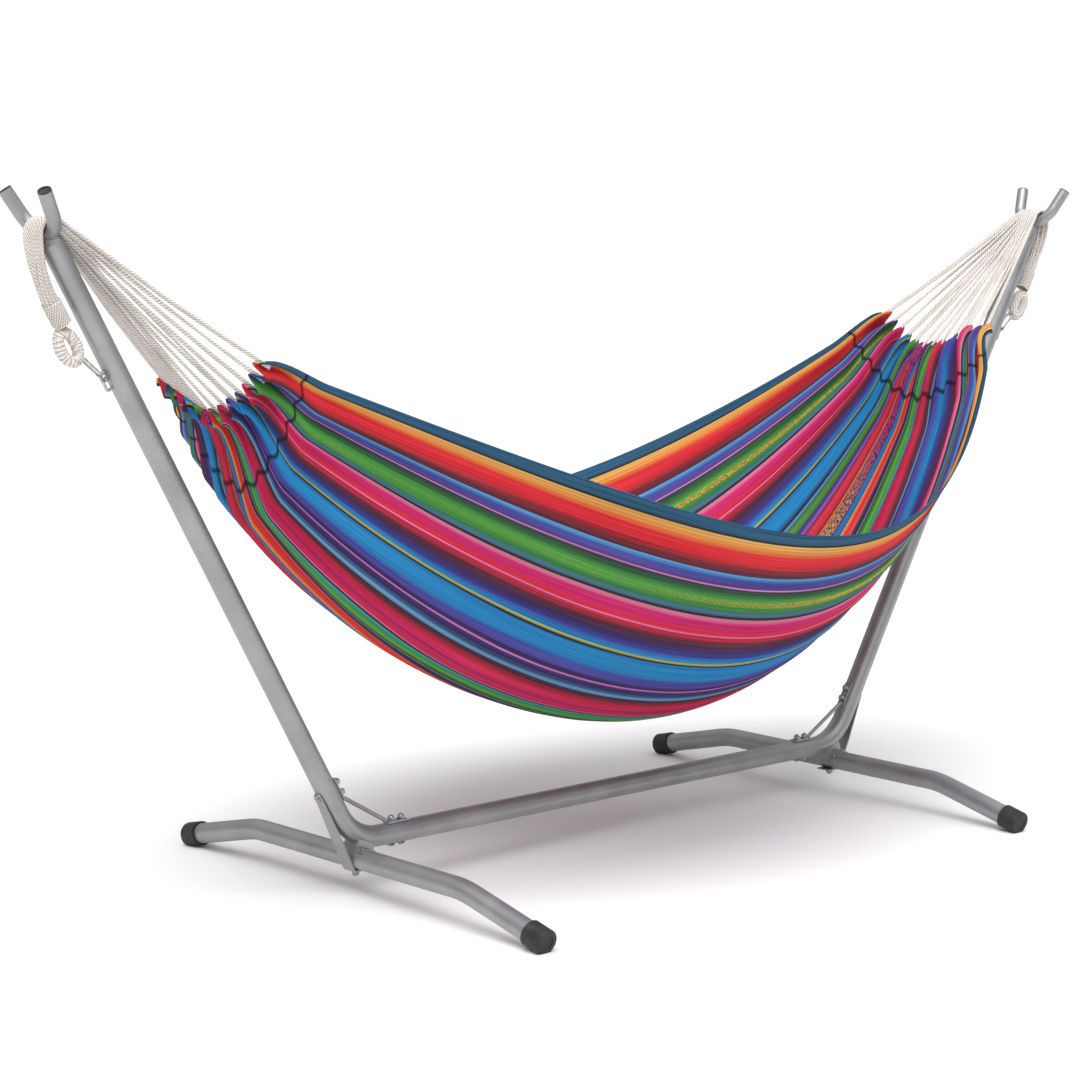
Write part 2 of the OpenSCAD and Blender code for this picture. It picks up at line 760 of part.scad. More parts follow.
module bed() {
    row = bed_nv + 1;
    count = (bed_nu + 1) * row;
    points = [for (drop = [0, cloth_t], i = [0 : bed_nu], j = [0 : bed_nv]) bed_point(i, j, drop)];
    upper = [for (i = [0 : bed_nu - 1], j = [0 : bed_nv - 1], half = [0, 1])
        let (a = i * row + j, b = a + row)
        half == 0 ? [a, a + 1, b + 1] : [a, b + 1, b]];
    lower = [for (f = upper) [f[2] + count, f[1] + count, f[0] + count]];
    ends = [for (end = [0, 1], j = [0 : bed_nv - 1], half = [0, 1])
        let (a = end * bed_nu * row + j, b = a + 1, c = a + count, d = b + count)
        end == 0 ? (half == 0 ? [b, a, c] : [b, c, d]) : (half == 0 ? [a, b, d] : [a, d, c])];
    sides = [for (side = [0, 1], i = [0 : bed_nu - 1], half = [0, 1])
        let (a = i * row + side * bed_nv, b = a + row, c = a + count, d = b + count)
        side == 0 ? (half == 0 ? [a, b, d] : [a, d, c]) : (half == 0 ? [b, a, c] : [b, c, d])];
    color("crimson") polyhedron(points, concat(upper, lower, ends, sides));
}

centre_beam();
at_left() upright();  // left_upright
upright();  // right_upright
at_left() fork();  // left_fork
fork();  // right_fork
at_left() leg();  // left_leg
leg();  // right_leg
at_left() foot(-1);  // left_front_foot
at_left() foot(1);  // left_rear_foot
foot(-1);  // right_front_foot
foot(1);  // right_rear_foot
at_left() plug(-1);  // left_front_plug
at_left() plug(1);  // left_rear_plug
plug(-1);  // right_front_plug
plug(1);  // right_rear_plug
at_left() brace();  // left_brace
brace();  // right_brace
at_left() tie_rod();  // left_tie_rod
tie_rod();  // right_tie_rod
at_left() saddle();  // left_saddle
saddle();  // right_saddle
at_left() joint_bolts();  // left_joint_bolts
joint_bolts();  // right_joint_bolts
at_left() joint_nuts();  // left_joint_nuts
joint_nuts();  // right_joint_nuts
at_left() joint_washers();  // left_joint_washers
joint_washers();  // right_joint_washers
at_left() leg_bolt();  // left_leg_bolt
leg_bolt();  // right_leg_bolt
at_left() leg_nut();  // left_leg_nut
leg_nut();  // right_leg_nut
at_left() saddle_screws();  // left_saddle_screws
saddle_screws();  // right_saddle_screws
at_left() eye();  // left_eye
eye();  // right_eye
at_left() snap_hook();  // left_snap_hook
snap_hook();  // right_snap_hook
at_left() hook_gate();  // left_hook_gate
hook_gate();  // right_hook_gate
at_left() gate_rivet();  // left_gate_rivet
gate_rivet();  // right_gate_rivet
at_left() cord_bundle();  // left_cord_bundle
cord_bundle();  // right_cord_bundle
at_left() whipping();  // left_whipping
whipping();  // right_whipping
at_left() end_loop();  // left_end_loop
end_loop();  // right_end_loop
at_left() cord_fan();  // left_cord_fan
cord_fan();  // right_cord_fan
bed();
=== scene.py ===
# %% [markdown]
# # A striped cotton hammock on its steel stand
# The steel stand comes from the CAD frame, piece by piece, and only gets its finishes here.
# The soft goods are made here: the woven bed, the cotton cords, the whippings and the end loops.
# Everything is in metres. X runs along the beam, Y across the stand and Z is up.

# %% Load the frame
import math
import random
import bpy
from mathutils import Matrix, Vector


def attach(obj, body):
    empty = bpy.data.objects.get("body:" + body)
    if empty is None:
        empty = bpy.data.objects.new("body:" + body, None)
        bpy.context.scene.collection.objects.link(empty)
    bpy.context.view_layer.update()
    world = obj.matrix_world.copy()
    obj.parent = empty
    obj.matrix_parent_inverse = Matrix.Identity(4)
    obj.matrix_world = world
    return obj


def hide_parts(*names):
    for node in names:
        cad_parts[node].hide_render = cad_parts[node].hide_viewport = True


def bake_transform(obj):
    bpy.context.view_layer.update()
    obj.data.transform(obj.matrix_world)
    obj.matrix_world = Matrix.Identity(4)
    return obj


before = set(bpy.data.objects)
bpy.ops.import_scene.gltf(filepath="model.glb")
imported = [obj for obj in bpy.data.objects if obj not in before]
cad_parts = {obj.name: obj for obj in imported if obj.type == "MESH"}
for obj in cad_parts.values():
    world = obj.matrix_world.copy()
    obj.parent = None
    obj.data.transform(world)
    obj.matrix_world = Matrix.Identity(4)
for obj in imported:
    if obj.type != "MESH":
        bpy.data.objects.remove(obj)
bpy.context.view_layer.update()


bpy.ops.object.select_all(action="DESELECT")
random.seed(7)

# %% [markdown]
# ## Camera
# A long lens a little under six metres away keeps the two uprights nearly parallel.
# The camera looks at the stand from its left front corner, slightly from above,
# so both legs, the inside of the far edge and the outside of the near edge are seen at once.

# %% Camera
AZIMUTH = math.radians(-43.373)
ELEVATION = math.radians(7.751)
ROLL = math.radians(0.637)
back = Vector((math.sin(AZIMUTH) * math.cos(ELEVATION),
               -math.cos(AZIMUTH) * math.cos(ELEVATION), math.sin(ELEVATION)))
level = Vector((0, 0, 1)).cross(back).normalized()
up = back.cross(level)
right = math.cos(ROLL) * level + math.sin(ROLL) * up
above = -math.sin(ROLL) * level + math.cos(ROLL) * up
CAMERA_PLACE = (-4.0396, -4.0475, 1.4088)
bpy.ops.object.camera_add(location=CAMERA_PLACE)
camera = bpy.context.object
camera.matrix_world = Matrix((right, above, back)).transposed().to_4x4()
camera.location = CAMERA_PLACE
camera.data.lens = 92.88
camera.data.sensor_width = 36
bpy.context.scene.camera = camera
print("camera at", tuple(round(c, 2) for c in camera.location))

# %% [markdown]
# ## Floor and light
# A wide pale floor under a white sky has no visible edge, so nothing competes with the stripes.
# Two very wide suns work like big diffusers: they light the far floor as evenly as the near floor.
# A strip overhead draws the long soft highlight along each steel tube. The sky that lights and
# mirrors in things is darker near the horizon, which gives the round tubes their dark flanks.

# %% Floor and light
FLOOR_RADIUS = 40
bpy.ops.mesh.primitive_circle_add(vertices=64, radius=FLOOR_RADIUS, fill_type="NGON")
floor = bpy.context.object
floor.name = "floor"


def diffuser(name, direction, spread, power):
    """A wide soft sun that shines along a direction."""
    bpy.ops.object.light_add(type="SUN", location=(0, 0, 5))
    light = bpy.context.object
    light.name = name
    light.data.angle = math.radians(spread)
    light.data.energy = power
    light.rotation_euler = Vector(direction).to_track_quat("-Z", "Y").to_euler()


diffuser("key", (0.45, 0.35, -1.0), 45, 1.75)
diffuser("fill", (0.2, 1.0, -0.75), 60, 0.55)
bpy.ops.object.light_add(type="AREA", location=(-0.6, -1.0, 4.2))
strip = bpy.context.object
strip.name = "strip"
strip.data.shape = "RECTANGLE"
strip.data.size = 5.0
strip.data.size_y = 0.8
strip.data.energy = 38
strip.rotation_euler = Vector((0.6, 1.0, -3.6)).to_track_quat("-Z", "Y").to_euler()

world = bpy.data.worlds.new("studio")
bpy.context.scene.world = world
world.use_nodes = True
sky_nodes, sky_links = world.node_tree.nodes, world.node_tree.links
white = sky_nodes["Background"]
white.inputs["Color"].default_value = (1.0, 1.0, 1.0, 1)
white.inputs["Strength"].default_value = 1.0
dome = sky_nodes.new("ShaderNodeBackground")
direction = sky_nodes.new("ShaderNodeTexCoord")
height = sky_nodes.new("ShaderNodeSeparateXYZ")
fade = sky_nodes.new("ShaderNodeValToRGB")
for at, grey in ((0.0, 0.16), (0.35, 0.42), (1.0, 0.62)):
    stop = fade.color_ramp.elements[0] if at == 0 else fade.color_ramp.elements.new(at)
    stop.position = at
    stop.color = (grey, grey, grey * 1.01, 1)
fade.color_ramp.elements.remove(fade.color_ramp.elements[-1])
seen = sky_nodes.new("ShaderNodeLightPath")
either = sky_nodes.new("ShaderNodeMixShader")
sky_links.new(direction.outputs["Generated"], height.inputs[0])
sky_links.new(height.outputs["Z"], fade.inputs["Fac"])
sky_links.new(fade.outputs["Color"], dome.inputs["Color"])
sky_links.new(seen.outputs["Is Camera Ray"], either.inputs[0])
sky_links.new(dome.outputs[0], either.inputs[1])
sky_links.new(white.outputs[0], either.inputs[2])
sky_links.new(either.outputs[0], sky_nodes["World Output"].inputs["Surface"])
bpy.context.scene.view_settings.view_transform = "Standard"
print("stage ready")

# %% [markdown]
# ## Shader shorthand
# A finish is a short calculation: this stripe times that weave, plus a little wear.
# `Value` wraps one socket, so a sum or a product in Python adds the matching Math node.
# `Finish` owns one material and makes every other node with a single method.

# %% Shader shorthand
class Value:
    """One output socket of a finish, which can be added, subtracted and multiplied."""

    def __init__(self, finish, socket):
        self.finish = finish
        self.socket = socket

    def _maths(self, operation, first, second):
        return self.finish.node("ShaderNodeMath", {"operation": operation}, {0: first, 1: second})

    def __add__(self, other):
        return self._maths("ADD", self, other)

    def __radd__(self, other):
        return self._maths("ADD", other, self)

    def __sub__(self, other):
        return self._maths("SUBTRACT", self, other)

    def __rsub__(self, other):
        return self._maths("SUBTRACT", other, self)

    def __mul__(self, other):
        return self._maths("MULTIPLY", self, other)

    def __rmul__(self, other):
        return self._maths("MULTIPLY", other, self)


class Finish:
    """One material of the hammock, with its shader ready."""

    def __init__(self, name, **settings):
        self.material = bpy.data.materials.new(name)
        self.material.use_nodes = True
        self.nodes = self.material.node_tree.nodes
        self.links = self.material.node_tree.links
        self.shader = self.nodes["Principled BSDF"]
        for socket, value in settings.items():
            self.set(socket, value)

    def set(self, socket, value):
        """Put a number, a colour or a calculated value on one socket of the shader."""
        name = socket.replace("_", " ")
        if isinstance(value, Value):
            self.links.new(value.socket, self.shader.inputs[name])
        else:
            self.shader.inputs[name].default_value = value

    def node(self, kind, settings=None, sockets=None, out=0):
        """Add one node: its settings first, a ramp's stops among them, then its sockets."""
        node = self.nodes.new(kind)
        for key, value in (settings or {}).items():
            if key == "stops":
                self._fill_ramp(node.color_ramp, value)
            else:
                setattr(node, key, value)
        for key, value in (sockets or {}).items():
            if isinstance(value, Value):
                self.links.new(value.socket, node.inputs[key])
            else:
                node.inputs[key].default_value = value
        return Value(self, node.outputs[out])

    def _fill_ramp(self, ramp, stops):
        while len(ramp.elements) > 1:
            ramp.elements.remove(ramp.elements[-1])
        ramp.elements[0].position = stops[0][0]
        ramp.elements[0].color = stops[0][1]
        for place, colour in stops[1:]:
            ramp.elements.new(place).color = colour

    def mix(self, share, first, second, blend="MIX"):
        """Mix two colours."""
        settings = {"data_type": "RGBA", "blend_type": blend, "clamp_factor": True}
        return self.node("ShaderNodeMix", settings, {0: share, 6: first, 7: second}, out=2)

    def clamp(self, value, low, high):
        """Map low..high to 0..1, and hold it there outside."""
        return self.node("ShaderNodeMapRange", {"clamp": True}, {0: value, 1: low, 2: high})

    def bump(self, height, strength, distance):
        """Raise and lower the surface by a height."""
        bump = self.node("ShaderNodeBump", None,
                         {"Height": height, "Strength": strength, "Distance": distance})
        self.set("Normal", bump)


def colour(red, green, blue):
    """A screen colour, 0 to 255 a channel, as the linear light that shaders use."""
    def linear(channel):
        channel = channel / 255
        return channel / 12.92 if channel < 0.04045 else ((channel + 0.055) / 1.055) ** 2.4
    return (linear(red), linear(green), linear(blue), 1)


def paint(finish, slot, *names):
    """Give these CAD nodes a finish."""
    for name in names:
        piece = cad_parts[name]
        piece.data.materials.clear()
        piece.data.materials.append(finish.material)


print("shader shorthand ready")

# %% [markdown]
# ## Painted steel
# The tubes are powder coated in a satin silver grey. Powder coat is never mirror smooth:
# it has a faint orange-peel skin and small changes in gloss, and a metallic flake under it.
# Noise on Object coordinates gives all three, at the same scale on every tube.

# %% Painted steel
steel = Finish("painted_steel", Metallic=0.65)
place = steel.node("ShaderNodeTexCoord", out=3)
flake = steel.node("ShaderNodeTexNoise", None, {"Vector": place, "Scale": 900.0, "Detail": 2.0})
cloud = steel.node("ShaderNodeTexNoise", None, {"Vector": place, "Scale": 14.0, "Detail": 4.0})
peel = steel.node("ShaderNodeTexNoise", None, {"Vector": place, "Scale": 320.0, "Detail": 1.0})
tone = steel.clamp(flake * 0.5 + cloud * 0.5, 0.3, 0.7)
steel.set("Base Color", steel.mix(tone, colour(138, 139, 141), colour(170, 170, 172)))
steel.set("Roughness", 0.34 + cloud * 0.14)
steel.bump(peel, 0.25, 0.0004)
SIDES = ("left", "right")
steel_nodes = ["centre_beam"]
for side in SIDES:
    steel_nodes += [f"{side}_{part}" for part in
                    ("upright", "fork", "leg", "brace", "tie_rod", "saddle")]
paint(steel, "painted_steel", *steel_nodes)
print("painted:", len(steel_nodes), "steel pieces")

# %% [markdown]
# ## Zinc fasteners and wire
# Bolts, nuts and washers are bright zinc, slightly brushed, with darker patches
# where a spanner has touched them. The hooks and eyes are plain drawn wire of the same metal.

# %% Zinc fasteners and wire
def zinc_finish(name, dark, pale, roughness):
    """Zinc with patches between two greys and a brushed skin."""
    zinc = Finish(name, Metallic=0.9)
    place = zinc.node("ShaderNodeTexCoord", out=3)
    patches = zinc.node("ShaderNodeTexNoise", None, {"Vector": place, "Scale": 180.0, "Detail": 3.0})
    brushed = zinc.node("ShaderNodeTexNoise", None, {"Vector": place, "Scale": 1500.0, "Detail": 1.0})
    zinc.set("Base Color", zinc.mix(zinc.clamp(patches, 0.35, 0.65), dark, pale))
    zinc.set("Roughness", roughness + patches * 0.2)
    zinc.bump(brushed, 0.2, 0.0002)
    return zinc


FASTENERS = ("joint_bolts", "joint_nuts", "joint_washers", "leg_bolt", "leg_nut", "saddle_screws")
WIRE_PIECES = ("eye", "snap_hook", "hook_gate", "gate_rivet")
fasteners = zinc_finish("zinc_fasteners", colour(118, 118, 122), colour(178, 178, 182), 0.24)
wire = zinc_finish("zinc_wire", colour(150, 148, 145), colour(196, 195, 192), 0.22)
for side in SIDES:
    paint(fasteners, "zinc_fasteners", *[f"{side}_{part}" for part in FASTENERS])
    paint(wire, "zinc_wire", *[f"{side}_{part}" for part in WIRE_PIECES])
print("zinc finishes on", len(SIDES) * len(FASTENERS + WIRE_PIECES), "nodes")

# %% [markdown]
# ## Black rubber feet and plastic plugs
# The foot caps are moulded rubber with a fine matt grain, greyed a little by dust.
# The plugs in the fork ends are harder and slightly shinier, so they share the recipe
# with a smoother setting.

# %% Black rubber feet and plastic plugs
def black_finish(name, dark, dusty, roughness, grain):
    """A black moulding with dust in its grain."""
    black = Finish(name, Metallic=0.0)
    place = black.node("ShaderNodeTexCoord", out=3)
    dust = black.node("ShaderNodeTexNoise", None, {"Vector": place, "Scale": 60.0, "Detail": 6.0})
    skin = black.node("ShaderNodeTexNoise", None, {"Vector": place, "Scale": 1400.0, "Detail": 2.0})
    black.set("Base Color", black.mix(black.clamp(dust, 0.45, 0.75), dark, dusty))
    black.set("Roughness", roughness + dust * 0.2)
    black.bump(skin, grain, 0.0003)
    return black


rubber = black_finish("black_rubber", colour(30, 30, 31), colour(58, 57, 56), 0.55, 0.5)
plastic = black_finish("black_plastic", colour(26, 26, 28), colour(52, 52, 54), 0.38, 0.2)
for side in SIDES:
    paint(rubber, "black_rubber", f"{side}_front_foot", f"{side}_rear_foot")
    paint(plastic, "black_plastic", f"{side}_front_plug", f"{side}_rear_plug")
print("black finishes on 8 nodes")

# %% [markdown]
# ## Cotton cord
# Each cord is spun from three strands. Up close the twist shows as slanting grooves,
# darker where light can't reach, over soft undyed cotton that is a little warmer in places.
# The cords carry a UV map that runs along them and around them, so the twist follows every bend.

# %% Cotton cord
def cotton_finish(name, lay, strands, pale, deep):
    """Undyed twisted cotton: lay is how far one strand runs in a full turn."""
    cotton = Finish(name, Metallic=0.0, Roughness=0.9)
    cotton.set("Sheen Weight", 0.08)
    cotton.set("Sheen Roughness", 0.6)
    along = cotton.node("ShaderNodeUVMap", {"uv_map": "run"})
    split = cotton.node("ShaderNodeSeparateXYZ", None, {0: along})
    around = Value(cotton, split.socket.node.outputs[1])
    turn = (split * (1 / lay) + around) * (strands * 2 * math.pi)
    groove = cotton.node("ShaderNodeMath", {"operation": "COSINE"}, {0: turn})
    height = cotton.clamp(groove, -1.0, 0.3)
    place = cotton.node("ShaderNodeTexCoord", out=3)
    fuzz = cotton.node("ShaderNodeTexNoise", None, {"Vector": place, "Scale": 700.0, "Detail": 3.0})
    warm = cotton.node("ShaderNodeTexNoise", None, {"Vector": place, "Scale": 18.0, "Detail": 3.0})
    body = cotton.mix(cotton.clamp(warm, 0.35, 0.65), pale, deep)
    shade = cotton.mix(height, colour(160, 150, 141), body)
    cotton.set("Base Color", cotton.mix(fuzz * 0.25, shade, colour(250, 247, 242)))
    cotton.bump(height * 0.8 + fuzz * 0.2, 0.8, 0.0012)
    return cotton


cotton = cotton_finish("cotton_cord", 0.020, 3, colour(232, 228, 222), colour(218, 211, 203))
serving = cotton_finish("cotton_serving", 0.009, 2, colour(230, 226, 220), colour(216, 209, 201))
print("cotton cord ready")

# %% [markdown]
# ## The woven bed: its shape
# The bed is one rectangle of cloth, about 1.45 by 2.5 metres, hung from both short ends.
# Its two long edges hang in their own curves and the belly hangs far below them.
# A cross section is a wide valley that is round at the bottom and steeper toward the edges.
# A cloth simulation could hang the sheet from its cords, but its folds would land where they please.
# The sheet is shaped in code instead: long curves first, then pleats, hems and the pinch of a seam.

# %% The bed's long curves
HEM_X = (-1.036, 1.032)
LEFT_HEM = ((-0.162, 1.055), (-0.149, 1.025), (-0.126, 1.000), (-0.099, 0.979), (-0.070, 0.965),
            (-0.040, 0.950), (0.001, 0.938), (0.044, 0.950), (0.099, 0.970), (0.135, 0.983),
            (0.162, 0.994))
RIGHT_HEM = ((-0.162, 1.037), (-0.121, 1.030), (-0.092, 1.030), (-0.053, 1.000), (-0.013, 0.992),
             (0.040, 0.984), (0.067, 0.990), (0.091, 1.002), (0.131, 1.028), (0.150, 1.048),
             (0.164, 1.066))


def lerp(low, high, share):
    """The value at this share of the way from low to high."""
    return low + (high - low) * share


def smooth(low, high, value):
    """0 below low, 1 above high, and an even turn between."""
    share = min(max((value - low) / (high - low), 0.0), 1.0)
    return share * share * (3 - 2 * share)


def walk(points, share):
    """The point at this share of a polyline's length."""
    lengths = [math.dist(a, b) for a, b in zip(points, points[1:])]
    left = share * sum(lengths)
    for (a, b), length in zip(zip(points, points[1:]), lengths):
        if left <= length:
            return tuple(lerp(p, q, left / length) for p, q in zip(a, b))
        left -= length
    return tuple(points[-1])


def section_point(t, s):
    """A point of the smooth cross section at t (-1 left hem, 1 right hem), s from -1 near to 1 far."""
    belly = 1 - t * t
    near_y = -(0.162 + 0.383 * belly * (1 - 0.12 * t * t))
    far_y = 0.162 + 0.440 * belly
    near_rest = lerp(1.055, 1.036, (t + 1) / 2)
    far_rest = lerp(0.994, 1.066, (t + 1) / 2)
    near_z = near_rest - (near_rest - 0.699) * belly * (1 + 0.36 * t)
    far_z = far_rest - (far_rest - 0.635) * belly
    low_z = 0.212 * t ** 4 + 0.1846 * t ** 3 + 0.4619 * t ** 2 - 0.1225 * t + 0.2478
    power = lerp(1.4, 1.76, t * t)
    if s < 0:
        return near_y * -s, low_z + (near_z - low_z) * (-s) ** power
    return far_y * s, low_z + (far_z - low_z) * s ** power


GATHER_START = 0.91
FINE = 120


def section(t, count):
    """The cross section at t as count points spaced evenly along the cloth."""
    fine = [section_point(t, -1 + 2 * i / FINE) for i in range(FINE + 1)]
    even = [walk(fine, i / (count - 1)) for i in range(count)]
    hem = LEFT_HEM if t < 0 else RIGHT_HEM
    gathered = [walk(hem, i / (count - 1)) for i in range(count)]
    share = smooth(GATHER_START, 1.0, abs(t))
    return [tuple(lerp(p, q, share) for p, q in zip(a, b)) for a, b in zip(even, gathered)]


widths = [sum(math.dist(a, b) for a, b in zip(line, line[1:]))
          for line in (section(t / 4, 60) for t in range(-4, 5))]
print("cloth across, left to right:", [round(w, 2) for w in widths])

# %% [markdown]
# ## Pleats, pinched seam and tongues
# The cloth is 1.45 m wide and the cords hold it in a third of that, so it folds between the cords.
# Each fold is deepest at the hem and fades over half a metre, like a fan.
# A stitched line seven centimetres in holds the folds narrow, so the cloth puffs out beside it.

# %% Pleated cloth grid
ALONG = 220
ACROSS = 208
PLEATS = 13
PLEAT_DEPTH = 0.015
PLEAT_FADE = 0.26
SEAM_GAP = 0.066
TONGUE = 0.014
RIPPLE = 0.0035
CLOTH_THICKNESS = 0.0022


def pleat_height(v, gap):
    """How far the cloth stands off its smooth surface, at share v across and gap metres from a hem."""
    fade = math.exp(-gap / PLEAT_FADE) * (1 - smooth(0.55, 0.85, gap))
    waist = 1 - 0.45 * math.exp(-((gap - SEAM_GAP) / 0.014) ** 2)
    waist += 0.25 * math.exp(-((gap - 0.5 * SEAM_GAP) / 0.02) ** 2)
    wander = 0.22 * math.sin(5.0 * v + 9.0 * gap)
    fold = math.cos(2 * math.pi * (PLEATS * v + wander * smooth(0.05, 0.5, gap)))
    edge = smooth(0.0, 0.03, v) * smooth(0.0, 0.03, 1 - v)
    return -PLEAT_DEPTH * fade * waist * edge * fold


def grid_point(t, j, outline):
    """One point of the pleated cloth: lifted off the section, and drawn out into a tongue at the hem."""
    x = lerp(HEM_X[0], HEM_X[1], (t + 1) / 2)
    v = j / ACROSS
    y, z = outline[j]
    before, after = outline[max(j - 1, 0)], outline[min(j + 1, ACROSS)]
    run = Vector((after[0] - before[0], after[1] - before[1])).normalized()
    gap = min(x - HEM_X[0], HEM_X[1] - x)
    ripple = RIPPLE * math.sin(17 * v + 2.2 * t) * math.sin(3.1 * t + 4 * v) * smooth(0.1, 0.6, gap)
    lift = pleat_height(v, gap) + ripple
    between_cords = 0.5 - 0.5 * math.cos(2 * math.pi * PLEATS * v)
    tongue = TONGUE * between_cords * (1 - smooth(0.0, 0.05, gap))
    side = -1 if x < 0 else 1
    return x + side * tongue, y - run[1] * lift, z + run[0] * lift + tongue * 0.25


CLOSER_AT_HEMS = 0.35
points, cloth_run = [], []
for i in range(ALONG + 1):
    even = -1 + 2 * i / ALONG
    t = lerp(even, math.sin(even * math.pi / 2), CLOSER_AT_HEMS)
    outline = section(t, ACROSS + 1)
    for j in range(ACROSS + 1):
        points.append(grid_point(t, j, outline))
        cloth_run.append(((t + 1) / 2, j / ACROSS))
faces = [(i * (ACROSS + 1) + j, (i + 1) * (ACROSS + 1) + j,
          (i + 1) * (ACROSS + 1) + j + 1, i * (ACROSS + 1) + j + 1)
         for i in range(ALONG) for j in range(ACROSS)]


def add_piece(name, points, faces, runs, finish):
    """A mesh piece with its points in place and a UV map that runs along and across it."""
    mesh = bpy.data.meshes.new(name)
    mesh.from_pydata(points, [], faces)
    run_map = mesh.uv_layers.new(name="run")
    for loop in mesh.loops:
        run_map.data[loop.index].uv = runs[loop.vertex_index]
    mesh.polygons.foreach_set("use_smooth", [True] * len(mesh.polygons))
    mesh.materials.append(finish.material)
    piece = bpy.data.objects.new(name, mesh)
    bpy.context.scene.collection.objects.link(piece)
    return piece


print("cloth grid:", len(points), "points")

# %% [markdown]
# ## Striped cotton
# The stripes run the whole length, so a colour depends only on the place across the cloth.
# The weaver's pattern is long, so it is written as a list of bands from one edge to the other:
# where the band starts, its colour, and whether it melts into the next one.
# A colour ramp holds 32 stops at most, so the list is later cut into ramps laid side by side.

# %% The weaver's list of bands
TEAL = (28, 92, 128)
BLACK = (22, 20, 24)
NAVY = (38, 34, 84)
MAROON = (88, 22, 42)
BANDS = [
    (0.000, (26, 84, 118)), (0.019, TEAL), (0.0195, BLACK), (0.023, BLACK),
    (0.0235, (238, 186, 100)), (0.027, (236, 178, 92)), (0.0275, (120, 70, 40)),
    (0.028, (236, 170, 84)), (0.032, (238, 176, 92)), (0.0325, (130, 60, 40)),
    (0.033, (238, 160, 76)), (0.038, (236, 140, 60)), (0.0425, (235, 104, 48)), (0.047, (226, 44, 46)),
    (0.056, (236, 28, 52)), (0.066, (214, 26, 44)), (0.076, (128, 28, 44)), (0.088, (70, 22, 40)),
    (0.0885, (96, 170, 226)), (0.094, (70, 130, 200)), (0.098, (52, 78, 160)), (0.110, (88, 58, 150)),
    (0.1125, (60, 36, 96)), (0.113, (224, 140, 206)), (0.1155, (196, 110, 190)), (0.116, (24, 50, 48)),
    (0.124, (34, 82, 56)), (0.129, (40, 104, 52)), (0.138, (70, 164, 62)), (0.152, (58, 148, 56)),
    (0.161, (44, 120, 66)), (0.166, (66, 120, 150)), (0.1715, (60, 100, 134)), (0.172, BLACK),
    (0.177, BLACK), (0.1775, (226, 132, 156)), (0.184, (222, 100, 150)), (0.188, (216, 22, 112)),
    (0.204, (214, 18, 100)), (0.208, (228, 30, 66)), (0.2145, (226, 34, 60)), (0.215, (238, 120, 180)),
    (0.2175, (238, 120, 180)), (0.218, (206, 24, 62)), (0.226, (178, 22, 58)), (0.232, MAROON),
    (0.247, (60, 26, 82)), (0.253, (46, 34, 110)), (0.264, (52, 60, 160)), (0.270, (16, 118, 190)),
    (0.279, (0, 140, 202)), (0.2795, (196, 186, 100)), (0.284, (150, 160, 90)), (0.2845, BLACK),
    (0.288, BLACK), (0.2885, (10, 120, 186)), (0.300, (0, 142, 206)), (0.322, (6, 134, 200)),
    (0.333, (60, 76, 168)), (0.345, (84, 68, 168)), (0.352, NAVY), (0.358, (54, 30, 90)),
    (0.3585, (222, 130, 214)), (0.362, (190, 100, 196)), (0.3625, (60, 40, 110)), (0.372, NAVY),
    (0.380, (52, 90, 150)), (0.385, (104, 170, 204)), (0.390, (80, 140, 186)), (0.3905, (60, 24, 56)),
    (0.400, MAROON), (0.410, (190, 22, 60)), (0.420, (222, 22, 78)), (0.432, (218, 20, 104)),
    (0.436, (150, 20, 70)), (0.440, (214, 24, 100)), (0.452, (206, 22, 72)), (0.4525, (226, 120, 160)),
    (0.455, (216, 96, 150)), (0.4555, BLACK), (0.459, BLACK), (0.4595, (70, 170, 180)),
    (0.464, (40, 150, 130)), (0.470, (54, 150, 60)), (0.477, (110, 180, 60)), (0.483, (38, 124, 50)),
    (0.490, (22, 62, 40)), (0.4905, (150, 140, 170)), (0.4935, (100, 92, 130)), (0.494, BLACK),
    (0.500, (40, 34, 74)),
]
SECOND_HALF = [
    (0.500, NAVY), (0.506, (70, 40, 120)), (0.5065, (236, 96, 44)), (0.512, (228, 50, 44)),
    (0.522, (232, 38, 46)), (0.530, (238, 130, 52)), (0.5325, (240, 190, 100)), (0.533, (28, 92, 140)),
    (0.544, (10, 122, 186)), (0.552, (40, 60, 150)), (0.5525, NAVY), (0.580, (30, 28, 70)),
    (0.5805, (240, 120, 60)), (0.584, (236, 120, 60)), (0.5845, (120, 24, 40)), (0.596, (210, 30, 54)),
    (0.606, (226, 30, 72)), (0.618, (96, 26, 54)), (0.6185, (150, 110, 200)), (0.626, (98, 60, 160)),
    (0.634, (40, 34, 90)), (0.6345, (44, 110, 54)), (0.646, (88, 168, 62)), (0.656, (30, 90, 54)),
    (0.6565, (100, 170, 220)), (0.662, (60, 100, 180)), (0.6625, BLACK), (0.666, BLACK),
]
MIRROR_UP_TO = 0.333
MIRRORED = [(round(1 - place, 5), shade) for place, shade in reversed(BANDS) if place < MIRROR_UP_TO]
ALL_BANDS = BANDS + SECOND_HALF[1:] + MIRRORED
print("stripe stops:", len(ALL_BANDS))

# %% [markdown]
# ## From bands to a finish
# Every ramp covers one stretch of the cloth, and a mask picks the ramp for each place.
# Fine warp threads make each band uneven: a stretched noise darkens and lightens single threads. The same
# noise raises the threads in the bump, so the darkening is partly painted shade on the low threads and the
# lightening is a faint painted highlight on the raised ones.
# The weave is a rib, so thin ridges run along the stripes and even thinner ones across them.

# %% Striped cotton finish
cloth = Finish("striped_cotton", Metallic=0.0)
cloth.set("Specular IOR Level", 0.12)
cloth_map = cloth.node("ShaderNodeUVMap", {"uv_map": "run"})
along = cloth.node("ShaderNodeSeparateXYZ", None, {0: cloth_map})
across = Value(cloth, along.socket.node.outputs[1])
CLOTH_LENGTH = 2.5
CLOTH_WIDTH = 1.45
STOPS_A_RAMP = 30


